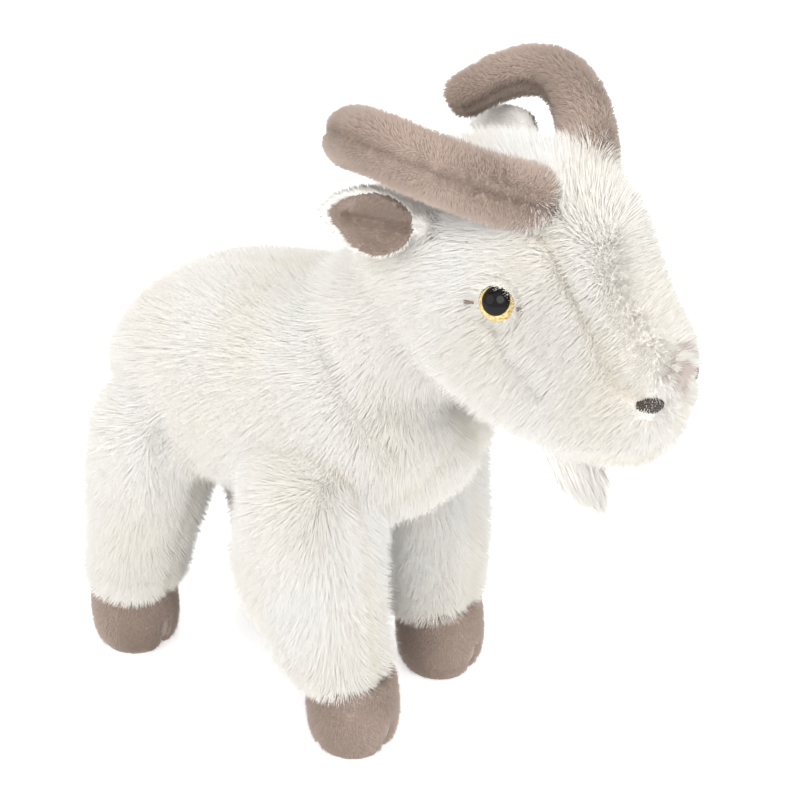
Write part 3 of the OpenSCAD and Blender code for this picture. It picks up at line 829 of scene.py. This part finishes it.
horn = {"voxel": 1.0 * mm, "softening": 5, "seam": 1.0 * mm, "width": 1.5 * mm, "sink": -0.5 * mm,
        "pile": 2.4 * mm, "bend": 12 * mm, "aim": (0.81, 0.44, 0.38), "comb": (-0.3, 0.9, -0.3)}
for side, sign in (("left", 1), ("right", -1)):
    outer, inner, filling = ["horn_%s_%s" % (part, side) for part in ("outer", "inner", "stuffing")]
    seam = sharedLine(outer, inner)
    skin, owners = smallSkin("hornSkin", [outer, inner, filling], [outer, inner], horn["voxel"],
                             horn["softening"], seam, horn["seam"], horn["width"], horn["sink"])
    base = hornAt[side]
    kind = pileKinds["taupe"]
    for number, node in enumerate((outer, inner)):
        picked = owners == node
        seed = seeds["horn"] + number + (seeds["rightHorn"] if side == "right" else 0)
        comb = combed((sign * horn["comb"][0], horn["comb"][1], horn["comb"][2]))
        for piece in (panelPiece(skin, node, picked, kind),
                      grownOn(skin, node, picked, kind, evenLength(horn["pile"]), comb, lineGaps(seam),
                              seed)):
            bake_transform(piece)
    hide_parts(filling)
    bpy.data.objects.remove(skin)
print("horns made")

ear = {"voxel": 0.8 * mm, "softening": 2, "pile": 4.6 * mm, "rim": 1.6 * mm, "lining": 2.0 * mm,
       "bend": 5 * mm, "along": (0.322, 0.9459, 0.0403), "face": (0.9331, -0.3243, 0.1557),
       "foldStep": 0.8, "foldSteps": 26, "foldOut": 3.4 * mm, "foldDepth": 2.0 * mm,
       "foldWidth": 1.8 * mm, "sink": -0.3 * mm, "wall": 0.7 * mm, "liningShade": -0.45,
       "rimFrom": 1.5 * mm, "rimTo": 6 * mm}
for side, sign in (("left", 1), ("right", -1)):
    back, lining = "ear_back_" + side, "ear_lining_" + side
    along, face = mirrored(ear["along"], sign), mirrored(ear["face"], sign)
    fold = [earAt[side] + along * (k * ear["foldStep"] * mm) + face * ear["foldOut"]
            for k in range(ear["foldSteps"])]
    skin, owners = smallSkin("earSkin", [back, lining], [back, lining], ear["voxel"], ear["softening"], fold,
                             ear["foldDepth"], ear["foldWidth"], ear["sink"])
    liningTree = BVHTree.FromObject(nodes[lining], bpy.context.evaluated_depsgraph_get())

    def backLength(places, tree=liningTree):
        away = np.array([tree.find_nearest(p)[3] for p in places])
        grown = smoothStep(ear["rimFrom"], ear["rimTo"], away)
        return ear["rim"] + (ear["pile"] - ear["rim"]) * grown

    for number, node in enumerate((back, lining)):
        kind = dict(pileKinds["white" if node == back else "taupe"], wall=ear["wall"])
        kind["shade"] = 0 if node == back else ear["liningShade"]
        picked = owners == node
        length = backLength if node == back else evenLength(ear["lining"])
        seam = lineGaps(fold if node == lining else [])
        seed = seeds["ear"] + number + seeds["rightEar"] * (sign < 0)
        for piece in (panelPiece(skin, node, picked, kind),
                      grownOn(skin, node, picked, kind, length, combed(along), seam, seed)):
            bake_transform(piece)
    bpy.data.objects.remove(skin)
print("ears made")

tail = {"voxel": 1.1 * mm, "softening": 4, "sink": 2.0 * mm, "pile": 5.0 * mm, "wall": 0.8 * mm,
        "bend": 7 * mm, "along": (0, 0.5736, -0.8192)}
tailNodes = ["tail_upper", "tail_under"]
skin, owners = smallSkin("tailSkin", tailNodes, tailNodes, tail["voxel"], tail["softening"], [], 0, 1,
                         tail["sink"])
for number, node in enumerate(tailNodes):
    picked = owners == node
    for piece in (panelPiece(skin, node, picked, dict(pileKinds["white"], wall=tail["wall"])),
                  grownOn(skin, node, picked, pileKinds["white"], evenLength(tail["pile"]),
                          combed(tail["along"]), lineGaps([]), seeds["tail"] + number)):
        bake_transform(piece)
bpy.data.objects.remove(skin)
print("tail made")

hoof = {"voxel": 0.9 * mm, "softening": 4, "cleft": 2.6 * mm, "width": 2.0 * mm, "sink": -0.2 * mm,
        "pile": 2.0 * mm, "rise": 11 * mm, "step": 0.5 * mm, "under": 16, "inside": 0.4 * mm,
        "flatBelow": 1.3 * mm, "flatAt": 0.2 * mm, "stretchFrom": 15 * mm, "stretch": 0.6,
        "shade": -0.3, "comb": (0, -0.15, -1)}
for number, leg in enumerate(legNames):
    boot, sole = leg + "_hoof", leg + "_sole"
    low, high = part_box(boot)
    middle, front = (low + high) / 2, low.y
    rises = int(hoof["rise"] / hoof["step"])
    cleft = [Vector((middle.x, front + hoof["inside"], k * hoof["step"])) for k in range(rises)]
    cleft += [Vector((middle.x, front + k * hoof["step"], 0)) for k in range(hoof["under"])]
    skin, owners = smallSkin("hoofSkin", [boot, sole], [boot, sole], hoof["voxel"], hoof["softening"], cleft,
                             hoof["cleft"], hoof["width"], hoof["sink"])
    places = points(skin)
    places[:, 2] = np.where(places[:, 2] < hoof["flatBelow"], hoof["flatAt"], places[:, 2])
    places[:, 2] += np.maximum(places[:, 2] - hoof["stretchFrom"], 0) * hoof["stretch"]
    setPoints(skin, places)
    kind = dict(pileKinds["taupe"], shade=hoof["shade"])
    for node in (boot, sole):
        picked = owners == node
        pieces = [panelPiece(skin, node, picked, kind)]
        if node == boot:
            pieces.append(grownOn(skin, node, picked, kind, evenLength(hoof["pile"]), combed(hoof["comb"]),
                                  lineGaps(cleft), seeds["hoof"] + number))
        for piece in pieces:
            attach(piece, "leg_" + leg)
    bpy.data.objects.remove(skin)
print("hooves made")


# Eyes: a glossy dome over a gold iris whose black pupil is set high, painted shade and refraction that hide
# the top of the iris, and a dark stitch at each corner

eye = {"radius": 5.2 * mm, "dome": 3.8 * mm, "rim": 0.35 * mm, "axis": (0.9418, -0.3060, 0.1392),
       "segments": 48, "rows": 14, "pupil": (0.52, 0.645), "pupilReach": 0.375, "irisReach": 0.49,
       "roughness": 0.12, "specular": 0.1, "coat": 0.18, "coatRoughness": 0.03, "streaks": 14}
eyeStitch = {"away": 7.4, "out": 1.9, "half": 1.5, "apart": 0.9, "radius": 0.42 * mm}  # lengths in mm
eyeColours = {"pupil": (0.005, 0.004, 0.004, 1), "gold": (0.42, 0.28, 0.09, 1),
              "paleGold": (0.78, 0.62, 0.28, 1), "rim": (0.05, 0.035, 0.02, 1)}


def eyeMaterial():
    material = plainMaterial("eyeGloss", eyeColours["gold"], eye["roughness"])
    tree = material.node_tree
    shader = tree.nodes["Principled BSDF"]
    shader.inputs["Specular IOR Level"].default_value = eye["specular"]
    shader.inputs["Coat Weight"].default_value = eye["coat"]
    shader.inputs["Coat Roughness"].default_value = eye["coatRoughness"]
    place = tree.nodes.new("ShaderNodeUVMap")
    place.uv_map = "eyeMap"

    def reach(centre):
        away = tree.nodes.new("ShaderNodeVectorMath")
        away.operation = "DISTANCE"
        away.inputs[1].default_value = (centre[0], centre[1], 0)
        tree.links.new(place.outputs["UV"], away.inputs[0])
        return away.outputs["Value"]

    def stepped(value, low, high, first, second):
        ramp = tree.nodes.new("ShaderNodeValToRGB")
        ramp.color_ramp.elements[0].position, ramp.color_ramp.elements[1].position = low, high
        ramp.color_ramp.elements[0].color, ramp.color_ramp.elements[1].color = first, second
        tree.links.new(value, ramp.inputs["Fac"])
        return ramp.outputs["Color"]

    def mixed(mask, first, second):
        mix = tree.nodes.new("ShaderNodeMix")
        mix.data_type = "RGBA"
        tree.links.new(mask, mix.inputs["Factor"])
        for value, socket in ((first, "A"), (second, "B")):
            if isinstance(value, tuple):
                mix.inputs[socket].default_value = value
            else:
                tree.links.new(value, mix.inputs[socket])
        return mix.outputs["Result"]

    black, white = (0, 0, 0, 1), (1, 1, 1, 1)
    streaks = tree.nodes.new("ShaderNodeTexNoise")
    streaks.inputs["Scale"].default_value = eye["streaks"]
    streaks.inputs["Detail"].default_value = 5
    tree.links.new(place.outputs["UV"], streaks.inputs["Vector"])
    streakMask = stepped(streaks.outputs["Fac"], 0.35, 0.65, black, white)
    gold = mixed(streakMask, eyeColours["gold"], eyeColours["paleGold"])
    # The pupil sits above the iris's centre, so the gold shows only as a crescent below it: painted shade and
    # refraction over the top of the iris
    pupilMask = stepped(reach(eye["pupil"]), eye["pupilReach"] - 0.012, eye["pupilReach"] + 0.012,
                        black, white)
    rimMask = stepped(reach((0.5, 0.5)), eye["irisReach"] - 0.015, eye["irisReach"] + 0.01, black, white)
    iris = mixed(pupilMask, eyeColours["pupil"], gold)
    tree.links.new(mixed(rimMask, iris, eyeColours["rim"]), shader.inputs["Base Color"])
    return material


thread = {"roughness": 0.6, "sheen": 0.3, "bands": 900, "unrest": 1.5, "bump": 0.5, "bumpDepth": 0.0002,
          "segments": 12, "rings": 10}


def threadMaterial(name, dark, light):
    # Twisted thread: fine slanting bands
    material = plainMaterial(name, light, thread["roughness"], thread["sheen"])
    tree = material.node_tree
    place = tree.nodes.new("ShaderNodeTexCoord")
    bands = tree.nodes.new("ShaderNodeTexWave")
    bands.bands_direction = "DIAGONAL"
    bands.inputs["Scale"].default_value = thread["bands"]
    bands.inputs["Distortion"].default_value = thread["unrest"]
    tree.links.new(place.outputs["Object"], bands.inputs["Vector"])
    ramp = tree.nodes.new("ShaderNodeValToRGB")
    ramp.color_ramp.elements[0].color, ramp.color_ramp.elements[1].color = dark, light
    tree.links.new(bands.outputs["Color"], ramp.inputs["Fac"])
    bump = tree.nodes.new("ShaderNodeBump")
    bump.inputs["Strength"].default_value = thread["bump"]
    bump.inputs["Distance"].default_value = thread["bumpDepth"]
    tree.links.new(bands.outputs["Color"], bump.inputs["Height"])
    shader = tree.nodes["Principled BSDF"]
    tree.links.new(ramp.outputs["Color"], shader.inputs["Base Color"])
    tree.links.new(bump.outputs["Normal"], shader.inputs["Normal"])
    return material


def facingFrame(place, axis):
    # A frame whose Z is the axis and whose Y points as far up as it can
    z = axis.normalized()
    x = Vector((0, 0, 1)).cross(z).normalized()
    y = z.cross(x)
    return Matrix.Translation(place) @ Matrix((x, y, z)).transposed().to_4x4()


def stitches(name, lines, radius, look):
    # Each stitch is a thread that dips into the plush at both ends. lines has the two ends and the way out.
    bm = bmesh.new()
    for a, b, out in lines:
        length, middle = (b - a).length, (a + b) / 2
        rows = (out.cross(b - a).normalized(), out.normalized(), (b - a).normalized())
        turned = Matrix(rows).transposed().to_4x4()
        slim = Matrix.Diagonal((radius, radius, length / 2, 1))
        made = bmesh.ops.create_uvsphere(bm, u_segments=thread["segments"], v_segments=thread["rings"],
                                         radius=1)["verts"]
        bmesh.ops.transform(bm, matrix=Matrix.Translation(middle) @ turned @ slim, verts=made)
    bmesh.ops.recalc_face_normals(bm, faces=bm.faces)
    for f in bm.faces:
        f.smooth = True
    piece = newObject(name, bm)
    piece.data.materials.append(look)
    return piece


materials["eye"] = eyeMaterial()
materials["darkThread"] = threadMaterial("darkThread", (0.012, 0.008, 0.006, 1), (0.05, 0.033, 0.025, 1))
materials["brownThread"] = threadMaterial("brownThread", (0.10, 0.07, 0.055, 1), (0.24, 0.18, 0.15, 1))
for side, sign in (("left", 1), ("right", -1)):
    axis = mirrored(eye["axis"], sign)
    corners = [v.co for v in nodes["eye_" + side].data.vertices]
    top = max(v.dot(axis) for v in corners)
    washer = centreOf("eye_washer_" + side)
    base = washer + axis * (top - washer.dot(axis) - eye["dome"])
    ball = (eye["radius"] ** 2 + eye["dome"] ** 2) / 2 / eye["dome"]
    half = math.asin(eye["radius"] / ball)
    rows = []
    for k in range(eye["rows"] + 1):
        lean = half * k / eye["rows"]
        rows.append((ball * math.sin(lean), eye["dome"] - ball * (1 - math.cos(lean))))
    rows += [(eye["radius"] + eye["rim"] * 0.4, -0.5 * mm), (eye["radius"] - 0.3 * mm, -1.3 * mm),
             (0, -1.3 * mm)]  # the rim, and the back that sits in the plush
    bm = bmesh.new()
    chain = [bm.verts.new((r, 0, z)) for r, z in rows]
    edges = [bm.edges.new(pair) for pair in zip(chain, chain[1:])]
    bmesh.ops.spin(bm, geom=chain + edges, cent=(0, 0, 0), axis=(0, 0, 1), angle=2 * math.pi,
                   steps=eye["segments"], use_merge=True)
    bmesh.ops.remove_doubles(bm, verts=bm.verts, dist=1e-6)
    bmesh.ops.recalc_face_normals(bm, faces=bm.faces)
    place = facingFrame(base, axis)
    eyeMap = bm.loops.layers.uv.new("eyeMap")
    for f in bm.faces:
        f.smooth = True
        for loop in f.loops:
            loop[eyeMap].uv = [0.5 + v / eye["radius"] / 2 for v in loop.vert.co.xy]
    bmesh.ops.transform(bm, matrix=place, verts=bm.verts)
    piece = newObject("eye" + side.capitalize(), bm)
    piece.data.materials.append(materials["eye"])
    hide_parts("eye_" + side, "eye_washer_" + side)
    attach(piece, "head")
    across = place.to_3x3() @ Vector((1, 0, 0))
    lines = []
    for way in (1, -1):
        spot = base + across * (way * eyeStitch["away"] * mm) + axis * (eyeStitch["out"] * mm)
        for k in (-0.5, 0.5):
            shift = Vector((0, 0, k * eyeStitch["apart"] * mm))
            reach = across * eyeStitch["half"] * mm
            lines.append((spot - reach + shift, spot + reach - shift * 0.4, axis))
    corner = stitches("eyeStitches" + side.capitalize(), lines, eyeStitch["radius"], materials["brownThread"])
    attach(corner, "head")
print("eyes made")


# Mouth: a satin-stitched patch at each corner

mouth = {"length": 7.6 * mm, "height": 6.0 * mm, "threads": 12, "thread": 0.5 * mm,
         "out": (0.754, -0.633, -0.174), "sunk": 0.8 * mm, "ends": 0.55, "uneven": 0.06, "round": 0.7}
lines = []
for side, sign in (("left", 1), ("right", -1)):
    out = mirrored(mouth["out"], sign).normalized()
    ahead = out.cross(Vector((0, 0, 1))).normalized() * sign
    up = out.cross(ahead).normalized()
    up = up if up.z > 0 else -up
    centre = mouthAt[side] - out * mouth["sunk"]
    for k in range(mouth["threads"]):
        t = 2 * (k + 0.5) / mouth["threads"] - 1
        tall = mouth["height"] / 2 * (1 - mouth["ends"] * t * t) * (1 + mouth["uneven"] * math.sin(5 * k))
        spot = centre + ahead * (t * mouth["length"] / 2) - out * (t ** 2 * mouth["round"] * mm)
        lines.append((spot - up * tall, spot + up * tall, out))
piece = stitches("mouthPatches", lines, mouth["thread"], materials["darkThread"])
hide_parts("mouth_patches")
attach(piece, "head")
print("mouth stitched")


# Beard: long strands gathered to wispy tips

beard = {"strands": 5200, "tufts": 26, "wide": 6 * mm, "deep": 11 * mm, "tip": (0, -83, 106),
         "spread": 3.0 * mm, "tuftSpread": (1.0, 1.4, 0.8), "halfWidth": 0.22 * mm, "below": 20 * mm,
         "shorter": 9, "fan": (1.2, 2.2), "tint": 0.7, "tints": 0.12}
turn = np.random.default_rng(seeds["beard"])
low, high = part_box("beard")
topAt = Vector((0, high.y - beard["deep"], high.z))
skinTree = BVHTree.FromObject(body, bpy.context.evaluated_depsgraph_get())
lines, facings = [], []
tips = []
for _ in range(beard["tufts"]):
    stray = turn.normal(size=3) * np.array(beard["tuftSpread"]) * beard["spread"]
    tips.append(np.array(beard["tip"]) * mm + stray)
while len(lines) < beard["strands"]:
    a, b = turn.uniform(-1, 1, 2)
    if a * a + b * b > 1:
        continue
    start = Vector((topAt.x + a * beard["wide"], topAt.y + b * beard["deep"], topAt.z - beard["below"]))
    hit = skinTree.ray_cast(start, Vector((0, 0, 1)))[0]
    if hit is None:
        continue
    root = np.array(hit)
    goal = tips[turn.integers(len(tips))].copy()
    goal[2] += turn.uniform(0, 1) ** 2 * beard["shorter"] * mm
    goal += np.array((a * beard["fan"][0], b * beard["fan"][1], 0)) * mm
    lines.append((root, goal))
    facings.append(np.array((a, b * 0.6 - 0.3, -0.15)))
lines, facings = np.array(lines), unitRows(np.array(facings))
across = unitRows(np.cross(lines[:, 1] - lines[:, 0], facings))
half = beard["halfWidth"] * (hair["width"][0] + hair["width"][1] * turn.random(len(lines)))
tint = beard["tint"] + beard["tints"] * turn.normal(size=len(lines))
piece = spikes("beardPile", lines, half, across, facings, tint, "whitePile")
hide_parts("beard")
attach(piece, "head")
print("beard grown")

# The stuffing is never seen, so a panel over it stands for it
bpy.data.objects.remove(body)
fillings = {"bodyPanelLeft": "body_stuffing", "neckPanelLeft": "neck_stuffing",
            "cheekPanelLeft": "head_stuffing"}
fillings.update({cameled(leg + "_leg_outer"): leg + "_leg_stuffing" for leg in legNames})
for name, node in fillings.items():
    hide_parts(node)

low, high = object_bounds()
